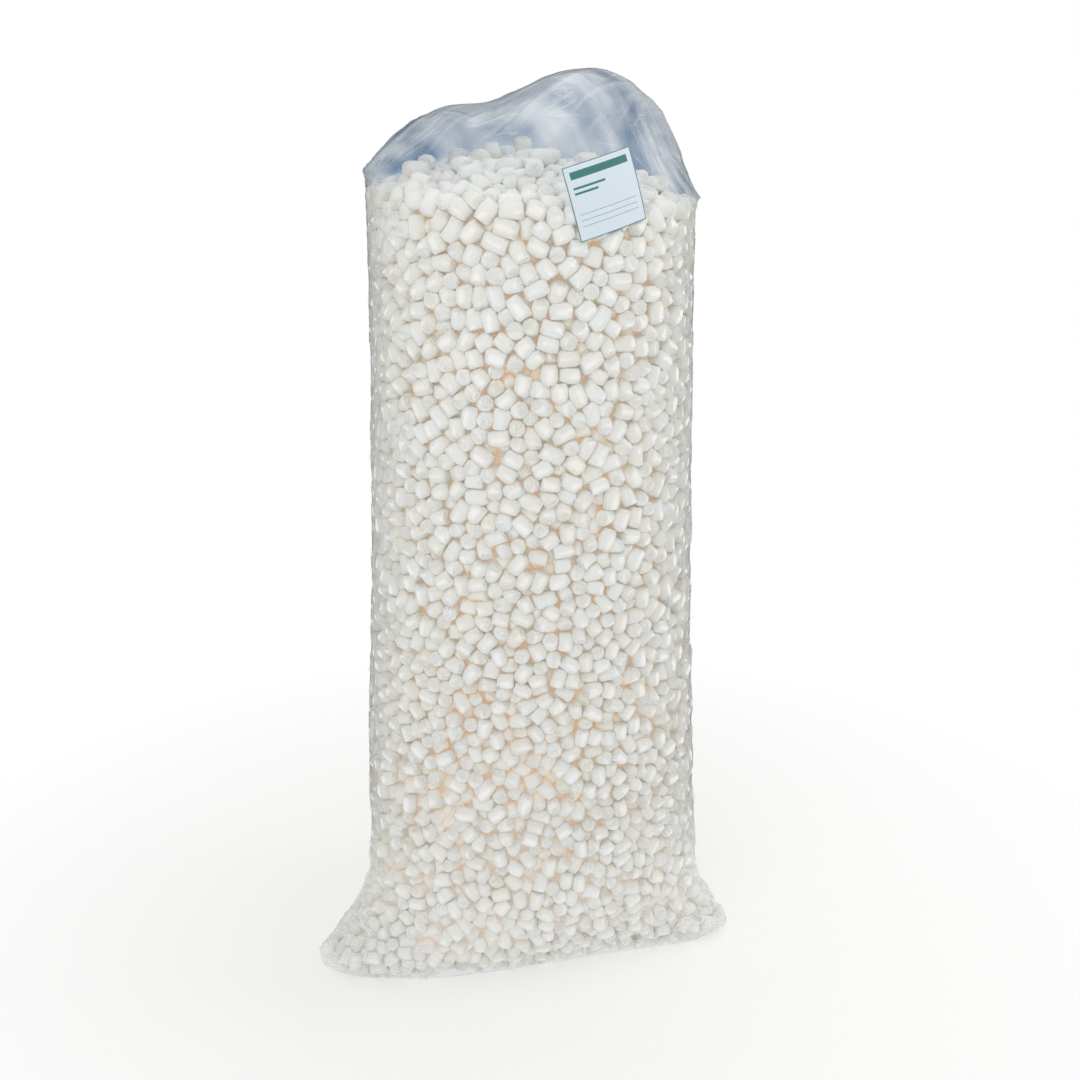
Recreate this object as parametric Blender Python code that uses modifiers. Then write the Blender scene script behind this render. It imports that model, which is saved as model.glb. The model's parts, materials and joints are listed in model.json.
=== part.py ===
"""Clear polythene bag of starch packing peanuts, standing on its base.

Metres, +Z up. The origin is on the floor under the middle of the bag, the bag's
width lies along X and its labelled front faces -Y.
"""

import math
import random

import bmesh
import bpy
from mathutils import Euler, Matrix, Vector
from mathutils.bvhtree import BVHTree
from mathutils.geometry import delaunay_2d_cdt

# The bag, a tube of film welded across its bottom
FILM = 0.0004  # wall as modelled, the real film is about 0.06 mm
GIRTH = 1.80  # round the tube of film
TUBE_WIDTH = GIRTH / 2  # of the empty tube laid flat
FLARE_TOP = 0.30  # above this the bag is a plain tube, below it flares to its two ears
BODY_TOP = 1.44  # where the full tube ends and the slack hood begins
HOOD_TILT = 0.10  # fall of the hood's foot toward +X, per metre
WELD_SHORTER = 0.1  # the weld's line under the bag is shorter than the floor outline

# Sections of the filled tube. Each has its level (0 is the floor, 1 the flare's top
# and 2 the body's top), half width, reach in front of its middle line and how pinched
# the ends are there (1 is an ellipse, less is boxy, more a lens), the same behind the
# line, and the line's X and Y. Lengths are shares of the tube's width.
SECTIONS = (
    (0.000, 0.378, 0.084, 0.40, 0.250, 1.40, -0.020, -0.050),
    (0.087, 0.459, 0.100, 0.50, 0.291, 1.80, -0.024, -0.050),
    (0.200, 0.432, 0.149, 0.68, 0.302, 1.45, -0.018, -0.040),
    (0.367, 0.396, 0.204, 0.85, 0.294, 1.20, -0.006, -0.025),
    (0.633, 0.372, 0.251, 0.98, 0.276, 1.05, 0.002, -0.010),
    (1.000, 0.367, 0.267, 1.00, 0.267, 1.00, 0.001, 0.0),
    (1.197, 0.352, 0.282, 1.00, 0.282, 1.00, 0.0, 0.0),
    (1.482, 0.333, 0.303, 1.00, 0.303, 1.00, 0.0, 0.0),
    (1.798, 0.320, 0.317, 1.00, 0.317, 1.00, 0.0, 0.0),
    (2.000, 0.316, 0.319, 1.00, 0.319, 1.00, 0.0, 0.0),
)
FRONT_SKEW = 0.45  # the front of the foot bulges more on the left, less on the right

# Soft waves of the filled film, and the gathers above the two ears
DENT = 0.0025
DENT_WAVES = ((3, 9, 0), (5, -14, 1))  # waves round the bag, their twist per metre, start
DENT_FADE = 0.10  # the waves die out over this height below the hood
PLEAT = 0.006
PLEAT_MIDDLE = 0.12  # height of the middle of the gathers
PLEAT_REACH = 0.07  # how far they run from there
PLEAT_NEARNESS = 8  # more keeps them nearer the ears

# The hood, slack film over the heap up to the flattened mouth
HOOD_FULL = 1.3  # 1 is an elliptical dome, more is fuller
HEAP_SHARE = 0.35  # the hood is taut over the heap up to this share of its height
CREASE = 0.010
CREASE_FOLDS = 9  # round the bag
CREASE_LEAN = 5  # how far a fold wanders round the bag on its way up
MOUTH_GAP = 0.006  # between the two lips
MOUTH_SWAY = 0.012
MOUTH_WAVES = 24  # of the sway, in radians per metre of width

# The mouth's line from its left corner over the top to its right corner: X as a share
# of the tube's width, and height above the body's top as a share of the hood's height
HOOD_HEIGHT = 0.241
MOUTH = (
    (-0.318, 0.35),
    (-0.247, 0.58),
    (-0.167, 0.755),
    (-0.067, 0.80),
    (0.000, 0.90),
    (0.069, 1.00),
    (0.133, 1.00),
    (0.211, 0.82),
    (0.278, 0.41),
    (0.338, 0.125),
)

# The film's faces
AROUND = 44  # columns of faces round the bag
FLARE_LEVELS = (0.093, 0.17, 0.27, 0.4, 0.57, 0.8)
TUBE_ROWS = 9
HOOD_LEVELS = (0.1, 0.24, 0.38, 0.54, 0.74, 0.9, 1.0)  # shares of the hood

# The peanuts
PEANUT_RADIUS = 0.014
PEANUT_LENGTH = 0.040
PEANUT_SIDES = 7
CLEARANCE = 0.0003  # between pieces that touch
HEAP_RISE = 0.035  # the heap meets the film this far above the body's top
HEAP_CROWN = 0.062  # how much higher the heap is at its middle
HEAP_TILT = 0.05  # fall of the heap toward +X, per metre
SEED = 7

# The skin of the packed peanuts: each pair of proud points is the back of one peanut
SKIN_STEP = 0.69 * PEANUT_LENGTH  # between the points
SKIN_JITTER = 0.0055  # random shift of a point
PROUD = 0.015
ROUGH = 0.002  # random depth of the other points
FACET_SAG = 0.0032  # the film's faces cut across its curves by up to this much
FILL_FOOT = 0.030  # height of the lowest row of points
FOOT_SHARE = 0.97  # the fill's foot against the floor outline of the film
EAR_EMPTY = 0.035  # no peanut reaches this far into the tips of the ears

# The loose peanuts on the heap
LOOSE_PEANUTS = 30
LOOSE_INSET = 0.060  # they keep this far from the film
LOOSE_LEAN = 0.12  # how far a lying one tips, in radians
UPRIGHT = ((-0.066, 0.02, 1.2), (-0.010, 0.03, 1.35))  # X, Y and lean of two that stand

# The label on the upper right of the front
LABEL_WIDTH = 0.116
LABEL_HEIGHT = 0.114
LABEL_THICKNESS = 0.0004
LABEL_X = 0.070
LABEL_RISE = 0.056  # its middle above the body's top
LABEL_TURN = math.radians(16)


def clear_scene():
    for obj in list(bpy.data.objects):
        bpy.data.objects.remove(obj, do_unlink=True)


def new_collection(name, hidden=False):
    collection = bpy.data.collections.new(name)
    bpy.context.scene.collection.children.link(collection)
    collection.hide_render = hidden
    return collection


def material(name, colour, roughness, alpha=1.0):
    made = bpy.data.materials.new(name)
    made.use_nodes = True
    shader = made.node_tree.nodes["Principled BSDF"]
    shader.inputs["Base Color"].default_value = (*colour, 1.0)
    shader.inputs["Roughness"].default_value = roughness
    shader.inputs["Alpha"].default_value = alpha
    return made


def new_object(name, mesh, collection, finish):
    obj = bpy.data.objects.new(name, mesh)
    collection.objects.link(obj)
    mesh.materials.append(finish)
    mesh.shade_smooth()
    return obj


def mesh_of(name, bm):
    mesh = bpy.data.meshes.new(name)
    bm.to_mesh(mesh)
    bm.free()
    return mesh


def through(rows, at):
    """The values between the rows at this first value, on a smooth curve through them."""
    last = len(rows) - 1
    at = min(max(at, rows[0][0]), rows[-1][0])
    i = next(k for k in range(last) if at <= rows[k + 1][0])

    def slope(k, c):
        a, b = rows[max(k - 1, 0)], rows[min(k + 1, last)]
        return (b[c] - a[c]) / (b[0] - a[0])

    a, b = rows[i], rows[i + 1]
    span = b[0] - a[0]
    t = (at - a[0]) / span
    found = []
    for c in range(1, len(a)):
        rise = b[c] - a[c]
        start, end = slope(i, c) * span, slope(i + 1, c) * span
        found.append(
            a[c] + t * start
            + t * t * (3 * rise - 2 * start - end)
            + t * t * t * (start + end - 2 * rise)
        )
    return found


def height_of(level):
    """Level 0 is the floor, 1 the flare's top and 2 the body's top."""
    if level <= 1:
        return level * FLARE_TOP
    return FLARE_TOP + (level - 1) * (BODY_TOP - FLARE_TOP)


SECTION_ROWS = [(height_of(row[0]), *row[1:]) for row in SECTIONS]
MOUTH_ROWS = [(x * TUBE_WIDTH, BODY_TOP + up * HOOD_HEIGHT) for x, up in MOUTH]


def section_point(turn, height):
    """A point of the tube's section at this height, without dents or pleats."""
    row = through(SECTION_ROWS, height)
    half, front, front_pinch, back, back_pinch, middle_x, middle_y = row
    in_front = math.sin(turn) < 0
    skew = FRONT_SKEW * max(1 - height / FLARE_TOP, 0)
    front *= 1 - skew * math.cos(turn) * math.sin(turn) ** 2
    reach, pinch = (-front, front_pinch) if in_front else (back, back_pinch)
    x = (half * math.cos(turn) + middle_x) * TUBE_WIDTH
    y = (reach * abs(math.sin(turn)) ** pinch + middle_y) * TUBE_WIDTH
    lift = (height / BODY_TOP) ** 4  # the hood's foot is tilted, the base is level
    return Vector((x, y, height - HOOD_TILT * x * lift))


def outward(turn, height, point_at=section_point):
    a = point_at(turn - 0.01, height)
    b = point_at(turn + 0.01, height)
    return Vector((b.y - a.y, a.x - b.x, 0)).normalized()


def dent_at(turn, height):
    """Soft waves of a film that hangs over loose fill."""
    above_foot = min(height / FLARE_TOP, 1.0)
    below_hood = min(max((BODY_TOP - height) / DENT_FADE, 0.0), 1.0)
    waves = [math.sin(n * turn + twist * height + start) for n, twist, start in DENT_WAVES]
    return DENT * above_foot * below_hood * sum(waves) / len(waves)


def pleat_at(column, turn, height):
    """Gathers that run up from each bottom ear: every second column stands out."""
    near_ear = abs(math.cos(turn)) ** PLEAT_NEARNESS
    band = math.exp(-(((height - PLEAT_MIDDLE) / PLEAT_REACH) ** 2))
    return PLEAT * near_ear * band * (column % 2)


def body_ring(height):
    ring = []
    for column in range(AROUND):
        turn = 2 * math.pi * column / AROUND
        proud = dent_at(turn, height) + pleat_at(column, turn, height)
        ring.append(section_point(turn, height) + outward(turn, height) * proud)
    return ring


def mouth_point(turn):
    left, right = MOUTH_ROWS[0][0], MOUTH_ROWS[-1][0]
    x = (left + right) / 2 + (right - left) / 2 * math.cos(turn)
    lip = -1 if math.sin(turn) < 0 else 1
    sway = MOUTH_SWAY * math.sin(MOUTH_WAVES * x + 1) * abs(math.sin(turn))
    return Vector((x, sway + lip * MOUTH_GAP / 2, through(MOUTH_ROWS, x)[0]))


def hood_point(turn, share):
    """The slack film above the heap: share 0 is its foot, 1 the mouth."""
    foot, lip = section_point(turn, BODY_TOP), mouth_point(turn)
    back = (1 - math.cos(share * math.pi / 2)) ** HOOD_FULL
    up = math.sin(share * math.pi / 2) ** (1 / HOOD_FULL)
    slack = max(share - HEAP_SHARE, 0) / (1 - HEAP_SHARE)
    fold = math.sin(CREASE_FOLDS * turn + CREASE_LEAN * share) * abs(math.sin(turn))
    point = Vector()
    point.x = foot.x + (lip.x - foot.x) * back
    point.y = foot.y + (lip.y - foot.y) * back + CREASE * fold * math.sin(slack * math.pi)
    point.z = foot.z + (lip.z - foot.z) * up
    return point


def underside_ring(share):
    """Flat film under the bag: share 0 is the weld's line, 1 the floor outline."""
    weld_y = SECTION_ROWS[0][-1] * TUBE_WIDTH
    ring = []
    for column in range(AROUND):
        rim = section_point(2 * math.pi * column / AROUND, 0.0)
        x = rim.x * (1 - WELD_SHORTER * (1 - share))
        ring.append(Vector((x, weld_y + (rim.y - weld_y) * share, 0.0)))
    return ring


def film_rings():
    levels = FLARE_LEVELS + tuple(1 + row / TUBE_ROWS for row in range(TUBE_ROWS + 1))
    turns = [2 * math.pi * column / AROUND for column in range(AROUND)]
    rings = [underside_ring(share) for share in (0, 0.5, 1)]
    rings += [body_ring(height_of(level)) for level in levels]
    rings += [[hood_point(turn, share) for turn in turns] for share in HOOD_LEVELS]
    return rings


def loft(rings, staggered=False):
    """One skin through closed rings of equally many points, open at both ends.

    Staggered is for rings that are turned by half a step in every second row.
    """
    bm = bmesh.new()
    made = [[bm.verts.new(point) for point in ring] for ring in rings]
    count = len(rings[0])
    for row, (lower, upper) in enumerate(zip(made, made[1:])):
        for i in range(count):
            j = (i + 1) % count
            if staggered and row % 2:
                bm.faces.new((lower[i], lower[j], upper[i]))
                bm.faces.new((lower[j], upper[j], upper[i]))
            else:
                bm.faces.new((lower[i], lower[j], upper[j]))
                bm.faces.new((lower[i], upper[j], upper[i]))
    return bm, made


def make_film(collection, finish):
    bm, _ = loft(film_rings())
    bmesh.ops.remove_doubles(bm, verts=bm.verts, dist=0.00001)
    bmesh.ops.dissolve_degenerate(bm, edges=bm.edges, dist=0.00001)
    film = new_object("film_bag", mesh_of("film_bag", bm), collection, finish)
    wall = film.modifiers.new("wall", "SOLIDIFY")
    wall.thickness = FILM
    wall.offset = -1
    return film


def filled_point(turn, height):
    """Where the fill reaches: short of the ears' tips, and on up under the hood."""
    if height <= BODY_TOP:
        point = section_point(turn, height)
        half, _, _, _, pinch, middle, _ = through(SECTION_ROWS, height)
        kept = 1 - EAR_EMPTY * (pinch - 1) / (half * TUBE_WIDTH)
        point.x = middle * TUBE_WIDTH * (1 - kept) + point.x * kept
        return point
    foot, lip = section_point(turn, BODY_TOP), mouth_point(turn)
    up = min((height - BODY_TOP) / (lip.z - foot.z), 1.0)
    return hood_point(turn, math.asin(up**HOOD_FULL) * 2 / math.pi)


def heap_height(x, y):
    """The heap's surface: highest in the middle, and lower toward +X."""
    half_width = SECTION_ROWS[-1][1] * TUBE_WIDTH
    far = min(math.hypot(x, y) / half_width, 1.0)
    return BODY_TOP + HEAP_RISE - HEAP_TILT * x + HEAP_CROWN * (1 - far * far)


def fill_foot():
    """The fill's outline on the floor, on the film's underside."""
    weld_y = SECTION_ROWS[0][-1] * TUBE_WIDTH
    count = skin_columns()
    ring = []
    for column in range(count):
        rim = section_point(2 * math.pi * column / count, 0.0)
        y = weld_y + (rim.y - weld_y) * FOOT_SHARE
        ring.append(Vector((rim.x * FOOT_SHARE, y, FILM + CLEARANCE)))
    return ring


def skin_columns():
    return round(GIRTH / SKIN_STEP)


def fill_rings(chance):
    """The wall of the packed peanuts: each point's place and where it is if proud."""
    count = skin_columns()
    tall = BODY_TOP + HEAP_RISE - FILL_FOOT
    rows = round(tall / (SKIN_STEP * math.cos(math.pi / 6)))
    rings = []
    for row in range(rows + 1):
        level = FILL_FOOT + tall * row / rows
        ring = []
        for column in range(count):
            turn = 2 * math.pi * (column + row % 2 / 2) / count
            height = level
            if 0 < row < rows:
                height += chance.uniform(-SKIN_JITTER, SKIN_JITTER)
            inside = FILM + CLEARANCE + FACET_SAG + chance.uniform(0, ROUGH)
            way = outward(turn, height, filled_point)
            top = filled_point(turn, height) + way * (dent_at(turn, height) - inside)
            ring.append((top - way * PROUD, top))
        rings.append(ring)
    return rings


def cap_heap(bm, rim, tops, chance):
    """Closes the fill with its heap: a triangular lattice trimmed to the rim."""
    flat = [vert.co.xy for vert in rim]
    half_width = max(edge.x for edge in flat)
    half_depth = max(edge.y for edge in flat)
    reach = int(max(half_width, half_depth) / SKIN_STEP) + 1
    points = list(flat)
    for row in range(-reach, reach + 1):
        for column in range(-reach, reach + 1):
            shift = [chance.uniform(-SKIN_JITTER, SKIN_JITTER) for _ in range(2)]
            place = (column + row % 2 / 2, row * math.cos(math.pi / 6))
            point = Vector(place) * SKIN_STEP + Vector(shift)
            inside = math.hypot(point.x / half_width, point.y / half_depth) < 1
            if inside and min((point - edge).length for edge in flat) > SKIN_STEP / 2:
                points.append(point)
    edges = [(i, (i + 1) % len(flat)) for i in range(len(flat))]
    places, _, faces, origins, _, _ = delaunay_2d_cdt(points, edges, [], 1, 1e-6)
    verts = []
    for place, origin in zip(places, origins):
        if origin[0] < len(rim):
            verts.append(rim[origin[0]])
        else:
            top = Vector((place.x, place.y, heap_height(*place)))
            verts.append(bm.verts.new(top - Vector((0, 0, PROUD))))
            tops[verts[-1]] = top
    for face in faces:
        bm.faces.new([verts[i] for i in face])


def neighbours(vert):
    return [edge.other_vert(vert) for edge in vert.link_edges]


def raise_peanuts(bm, tops, chance):
    """Lifts the back of one peanut after another: a pair of neighbouring points that
    meets no other pair, then single points in what is left, for peanuts on end."""
    free = [vert for vert in bm.verts if vert in tops]
    chance.shuffle(free)
    proud = set()
    for vert in free:
        mates = [mate for mate in neighbours(vert) if mate in tops]
        if mates:
            mate = chance.choice(mates)
            if not proud.intersection(neighbours(vert) + neighbours(mate)):
                proud |= {vert, mate}
    for vert in free:
        if not proud.intersection(neighbours(vert) + [vert]):
            proud.add(vert)
    for vert in free:
        if vert in proud:
            vert.co = vert.co.lerp(tops[vert], chance.uniform(0.8, 1))


def make_fill(collection, finish):
    """The packed peanuts as one solid with a lumpy skin, just inside the film."""
    chance = random.Random(SEED)
    rings = fill_rings(chance)
    low = [[place for place, _ in ring] for ring in rings]
    bm, made = loft([fill_foot()] + low, staggered=True)
    tops = {}
    for verts, ring in zip(made[2:-1], rings[1:-1]):
        tops.update((vert, top) for vert, (_, top) in zip(verts, ring))
    bm.faces.new(made[0][::-1])
    cap_heap(bm, made[-1], tops, chance)
    raise_peanuts(bm, tops, chance)
    bmesh.ops.triangulate(bm, faces=bm.faces)
    bmesh.ops.recalc_face_normals(bm, faces=bm.faces)
    fill = new_object("peanut_fill", mesh_of("peanut_fill", bm), collection, finish)
    fill.data.shade_flat()
    return fill


def peanut_mesh(name, length, bow, taper, swell=0.0):
    """One extruded peanut lying along X, with soft ends and a slight bow."""
    half = length / 2 + swell
    rings = []
    for along, girth in ((-1, 0.8), (-0.82, 1), (0.82, 1), (1, 0.8)):
        radius = (PEANUT_RADIUS + swell) * girth * (1 + taper * along)
        lift = bow * (1 - along * along)
        ring = []
        for i in range(PEANUT_SIDES):
            angle = 2 * math.pi * i / PEANUT_SIDES
            across, up = radius * math.cos(angle), radius * math.sin(angle) + lift
            ring.append(Vector((half * along, across, up)))
        rings.append(ring)
    bm, made = loft(rings)
    bm.faces.new(made[0][::-1])
    bm.faces.new(made[-1])
    bmesh.ops.recalc_face_normals(bm, faces=bm.faces)
    return mesh_of(name, bm)


def tree_of(obj):
    return BVHTree.FromObject(obj, bpy.context.evaluated_depsgraph_get())


def tree_at(mesh, place):
    return BVHTree.FromPolygons(
        [place @ vert.co for vert in mesh.vertices],
        [face.vertices for face in mesh.polygons],
    )


def seat(body, place, trees):
    """Lowers this mesh from its place till it would touch one of the trees."""

    def touches(drop):
        tree = tree_at(body, Matrix.Translation((0, 0, -drop)) @ place)
        return any(tree.overlap(other) for other in trees)

    drop, step = 0.0, PEANUT_RADIUS / 4
    while step > CLEARANCE / 10:
        if touches(drop + step):
            step /= 2
        else:
            drop += step
    return Matrix.Translation((0, 0, -drop)) @ place


def loose_places(chance):
    """Where the loose peanuts lie, and how each one leans: two stand up."""
    for x, y, lean in UPRIGHT:
        yield x, y, lean, chance.uniform(0, math.pi)
    golden = math.pi * (3 - math.sqrt(5))
    reach = SECTION_ROWS[-1][1] * TUBE_WIDTH - LOOSE_INSET
    spare = LOOSE_PEANUTS - len(UPRIGHT)
    count = 0
    for k in range(3 * spare):
        away = reach * math.sqrt((k % spare + 0.5) / spare)
        x = away * math.cos(k * golden)
        y = away * math.sin(k * golden)
        if min(math.hypot(x - u, y - v) for u, v, _ in UPRIGHT) < PEANUT_LENGTH:
            continue
        count += 1
        if count > spare:
            return
        yield x, y, chance.uniform(-LOOSE_LEAN, LOOSE_LEAN), chance.uniform(0, math.pi)


def make_loose_peanuts(collection, finish, fill, film):
    chance = random.Random(SEED)
    trees = [tree_of(fill), tree_of(film)]
    for number, (x, y, lean, yaw) in enumerate(loose_places(chance), 1):
        length = PEANUT_LENGTH * chance.uniform(0.9, 1.08)
        shape = (length, chance.uniform(0, 0.002), chance.uniform(-0.06, 0.06))
        name = f"loose_peanut_{number:02d}"
        mesh = peanut_mesh(name, *shape)
        grown = peanut_mesh("grown", *shape, swell=CLEARANCE)
        start = Vector((x, y, heap_height(x, y) + 0.9 * PEANUT_LENGTH))
        lie = Euler((chance.uniform(0, math.pi), lean, yaw), "XYZ").to_matrix().to_4x4()
        place = seat(grown, Matrix.Translation(start) @ lie, trees)
        trees.append(tree_at(mesh, place))
        bpy.data.meshes.remove(grown)
        peanut = new_object(name, mesh, collection, finish)
        peanut.matrix_world = place


def label_cutter(collection):
    """A prism of the label's outline that passes through the front film."""
    bpy.ops.mesh.primitive_cube_add(size=1)
    cutter = bpy.context.object
    cutter.name = "label_outline"
    for owner in cutter.users_collection:
        owner.objects.unlink(cutter)
    collection.objects.link(cutter)
    size = Matrix.Diagonal((LABEL_WIDTH, TUBE_WIDTH / 2, LABEL_HEIGHT, 1))
    turned = Matrix.Rotation(-LABEL_TURN, 4, "Y")
    middle = Matrix.Translation((LABEL_X, -TUBE_WIDTH / 4, BODY_TOP + LABEL_RISE))
    cutter.data.transform(middle @ turned @ size)
    cutter.hide_render = True
    cutter.display_type = "WIRE"
    return cutter


def make_label(collection, cutters, finish):
    """A sheet that lies on the film and follows it, trimmed to the label's outline."""
    reach = math.hypot(LABEL_WIDTH, LABEL_HEIGHT) / 2 + HOOD_TILT * TUBE_WIDTH
    under = BODY_TOP + LABEL_RISE - reach
    bm, _ = loft([ring for ring in film_rings() if ring[0].z > under])
    bm.normal_update()
    for vert, normal in [(vert, vert.normal.copy()) for vert in bm.verts]:
        vert.co += normal * CLEARANCE
    label = new_object("label", mesh_of("label", bm), collection, finish)
    sheet = label.modifiers.new("sheet", "SOLIDIFY")
    sheet.thickness = LABEL_THICKNESS
    sheet.offset = 1
    outline = label.modifiers.new("outline", "BOOLEAN")
    outline.operation = "INTERSECT"
    outline.object = label_cutter(cutters)
    return label


def main():
    clear_scene()
    parts = new_collection("packing_peanut_bag")
    cutters = new_collection("cutters", hidden=True)
    film = make_film(parts, material("clear_film", (0.66, 0.71, 0.77), 0.2, alpha=0.22))
    starch = material("starch_foam", (0.88, 0.85, 0.80), 0.9)
    fill = make_fill(parts, starch)
    bpy.context.view_layer.update()
    make_loose_peanuts(parts, starch, fill, film)
    make_label(parts, cutters, material("label_paper", (0.70, 0.75, 0.83), 0.5))


main()
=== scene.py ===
"""Looks of a clear polythene bag of starch packing peanuts.

Metres, +Z up, the bag's width along X and its labelled front toward -Y.
"""

import json
import math
import random
from types import SimpleNamespace

import bmesh
import bpy
import numpy as np
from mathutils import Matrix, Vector
from mathutils.bvhtree import BVHTree
from mathutils.kdtree import KDTree

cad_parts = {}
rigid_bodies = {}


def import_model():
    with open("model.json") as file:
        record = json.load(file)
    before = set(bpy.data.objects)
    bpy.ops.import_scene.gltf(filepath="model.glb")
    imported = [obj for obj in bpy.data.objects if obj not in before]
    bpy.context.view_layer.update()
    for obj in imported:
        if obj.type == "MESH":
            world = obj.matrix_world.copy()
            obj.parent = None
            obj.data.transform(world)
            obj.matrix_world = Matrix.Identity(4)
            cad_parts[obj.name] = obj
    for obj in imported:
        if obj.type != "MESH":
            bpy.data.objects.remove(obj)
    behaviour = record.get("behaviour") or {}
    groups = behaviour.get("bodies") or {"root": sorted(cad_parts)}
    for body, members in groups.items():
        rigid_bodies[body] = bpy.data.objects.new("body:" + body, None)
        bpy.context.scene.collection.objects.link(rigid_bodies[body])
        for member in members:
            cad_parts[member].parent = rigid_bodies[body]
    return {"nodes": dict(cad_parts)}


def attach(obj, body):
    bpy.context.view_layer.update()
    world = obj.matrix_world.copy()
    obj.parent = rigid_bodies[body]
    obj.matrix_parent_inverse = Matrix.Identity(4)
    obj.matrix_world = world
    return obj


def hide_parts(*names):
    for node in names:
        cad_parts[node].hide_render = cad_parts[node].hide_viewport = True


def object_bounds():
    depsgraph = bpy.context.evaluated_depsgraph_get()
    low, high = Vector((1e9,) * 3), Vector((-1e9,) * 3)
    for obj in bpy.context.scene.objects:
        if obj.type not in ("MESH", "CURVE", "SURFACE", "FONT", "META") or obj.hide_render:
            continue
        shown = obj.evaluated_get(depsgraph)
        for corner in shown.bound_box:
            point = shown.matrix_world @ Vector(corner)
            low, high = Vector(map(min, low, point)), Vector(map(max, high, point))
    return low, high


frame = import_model()
CAD_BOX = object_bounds()
SEED = 7

# The bag's form, as the solids have it
GIRTH = 1.80
TUBE_WIDTH = GIRTH / 2
FLARE_TOP = 0.30
BODY_TOP = 1.44
HOOD_TILT = 0.10
WELD_SHORTER = 0.1
SECTIONS = (
    (0.000, 0.378, 0.084, 0.40, 0.250, 1.40, -0.020, -0.050),
    (0.087, 0.459, 0.100, 0.50, 0.291, 1.80, -0.024, -0.050),
    (0.200, 0.432, 0.149, 0.68, 0.302, 1.45, -0.018, -0.040),
    (0.367, 0.396, 0.204, 0.85, 0.294, 1.20, -0.006, -0.025),
    (0.633, 0.372, 0.251, 0.98, 0.276, 1.05, 0.002, -0.010),
    (1.000, 0.367, 0.267, 1.00, 0.267, 1.00, 0.001, 0.0),
    (1.197, 0.352, 0.282, 1.00, 0.282, 1.00, 0.0, 0.0),
    (1.482, 0.333, 0.303, 1.00, 0.303, 1.00, 0.0, 0.0),
    (1.798, 0.320, 0.317, 1.00, 0.317, 1.00, 0.0, 0.0),
    (2.000, 0.316, 0.319, 1.00, 0.319, 1.00, 0.0, 0.0),
)
FRONT_SKEW = 0.45
HOOD_FULL = 1.3
HOOD_HEIGHT = 0.241
MOUTH = (
    (-0.318, 0.35),
    (-0.247, 0.58),
    (-0.167, 0.755),
    (-0.067, 0.80),
    (0.000, 0.90),
    (0.069, 1.00),
    (0.133, 1.00),
    (0.211, 0.82),
    (0.278, 0.41),
    (0.338, 0.125),
)
HEAP_RISE = 0.035
HEAP_CROWN = 0.062
HEAP_TILT = 0.05
LABEL_WIDTH = 0.116
LABEL_HEIGHT = 0.114
LABEL_X = 0.070
LABEL_RISE = 0.056
LABEL_TURN = math.radians(16)

# The fine film
COLUMNS = 288
UNDER_ROWS = 12
BODY_ROWS = 248
HOOD_ROWS = 78
MOUTH_GAP = 0.002
DRAPE_ROUNDS = 260
DRAPE_PULL = 0.00010  # how hard the film is drawn in between the peanuts, at each round

# The peanuts
PEANUT_RADIUS = 0.014
PEANUT_LENGTH = 0.040
PEANUTS = 6200
LAYER = 0.048  # the peanuts that can be seen lie no deeper than this
OUTER_DEPTH = 0.028  # and those deeper than this get a plainer shape
START_SPREAD = 0.0245  # the peanuts start no nearer to each other than this
ON_END = 0.22  # share of them that show an end
SETTLE_ROUNDS = 90
KINDS = 12  # shapes of a peanut
FLOOR_GAP = 0.0006

# Long folds, raised in the film and drawn along it as painted highlights, as X and Z on the front
# of the bag
HOOD_FOLDS = (
    ((-0.282, 1.513), (-0.253, 1.549), (-0.202, 1.585), (-0.164, 1.604), (-0.137, 1.619)),
    ((-0.227, 1.548), (-0.172, 1.572), (-0.121, 1.583), (-0.062, 1.599), (0.029, 1.606)),
    ((-0.171, 1.575), (-0.113, 1.597), (-0.060, 1.619), (-0.012, 1.643)),
    ((-0.055, 1.594), (-0.018, 1.619), (0.018, 1.638), (0.055, 1.646)),
    ((0.004, 1.656), (0.045, 1.664), (0.100, 1.658), (0.143, 1.649)),
    ((0.080, 1.587), (0.101, 1.609), (0.126, 1.626), (0.159, 1.632)),
    ((0.126, 1.626), (0.137, 1.601), (0.162, 1.571), (0.212, 1.526), (0.273, 1.480)),
    ((0.165, 1.631), (0.180, 1.596), (0.210, 1.557), (0.246, 1.505)),
    ((0.050, 1.573), (0.104, 1.565), (0.143, 1.530), (0.183, 1.483)),
    ((-0.059, 1.573), (-0.017, 1.548), (0.008, 1.533)),
    ((-0.112, 1.566), (-0.089, 1.570), (-0.059, 1.575)),
    ((-0.270, 1.480), (-0.279, 1.421), (-0.282, 1.379)),
    ((-0.229, 1.574), (-0.248, 1.542), (-0.272, 1.510)),
)
EAR_FOLDS = (
    ((-0.300, 0.183), (-0.281, 0.170), (-0.253, 0.162), (-0.209, 0.167)),
    ((-0.308, 0.143), (-0.289, 0.121), (-0.256, 0.104), (-0.215, 0.095)),
    ((-0.345, 0.106), (-0.326, 0.084), (-0.292, 0.055), (-0.264, 0.010)),
    ((-0.371, 0.090), (-0.364, 0.077), (-0.353, 0.067)),
    ((-0.325, 0.233), (-0.319, 0.192), (-0.300, 0.175)),
    ((0.342, 0.153), (0.306, 0.130), (0.260, 0.084), (0.236, 0.052)),
    ((0.360, 0.088), (0.333, 0.077), (0.294, 0.058)),
    ((0.384, 0.043), (0.348, 0.048), (0.325, 0.029)),
    ((0.260, 0.169), (0.235, 0.159), (0.204, 0.151)),
    ((0.021, 0.022), (0.099, 0.058), (0.221, 0.032), (0.308, 0.026)),
)
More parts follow.
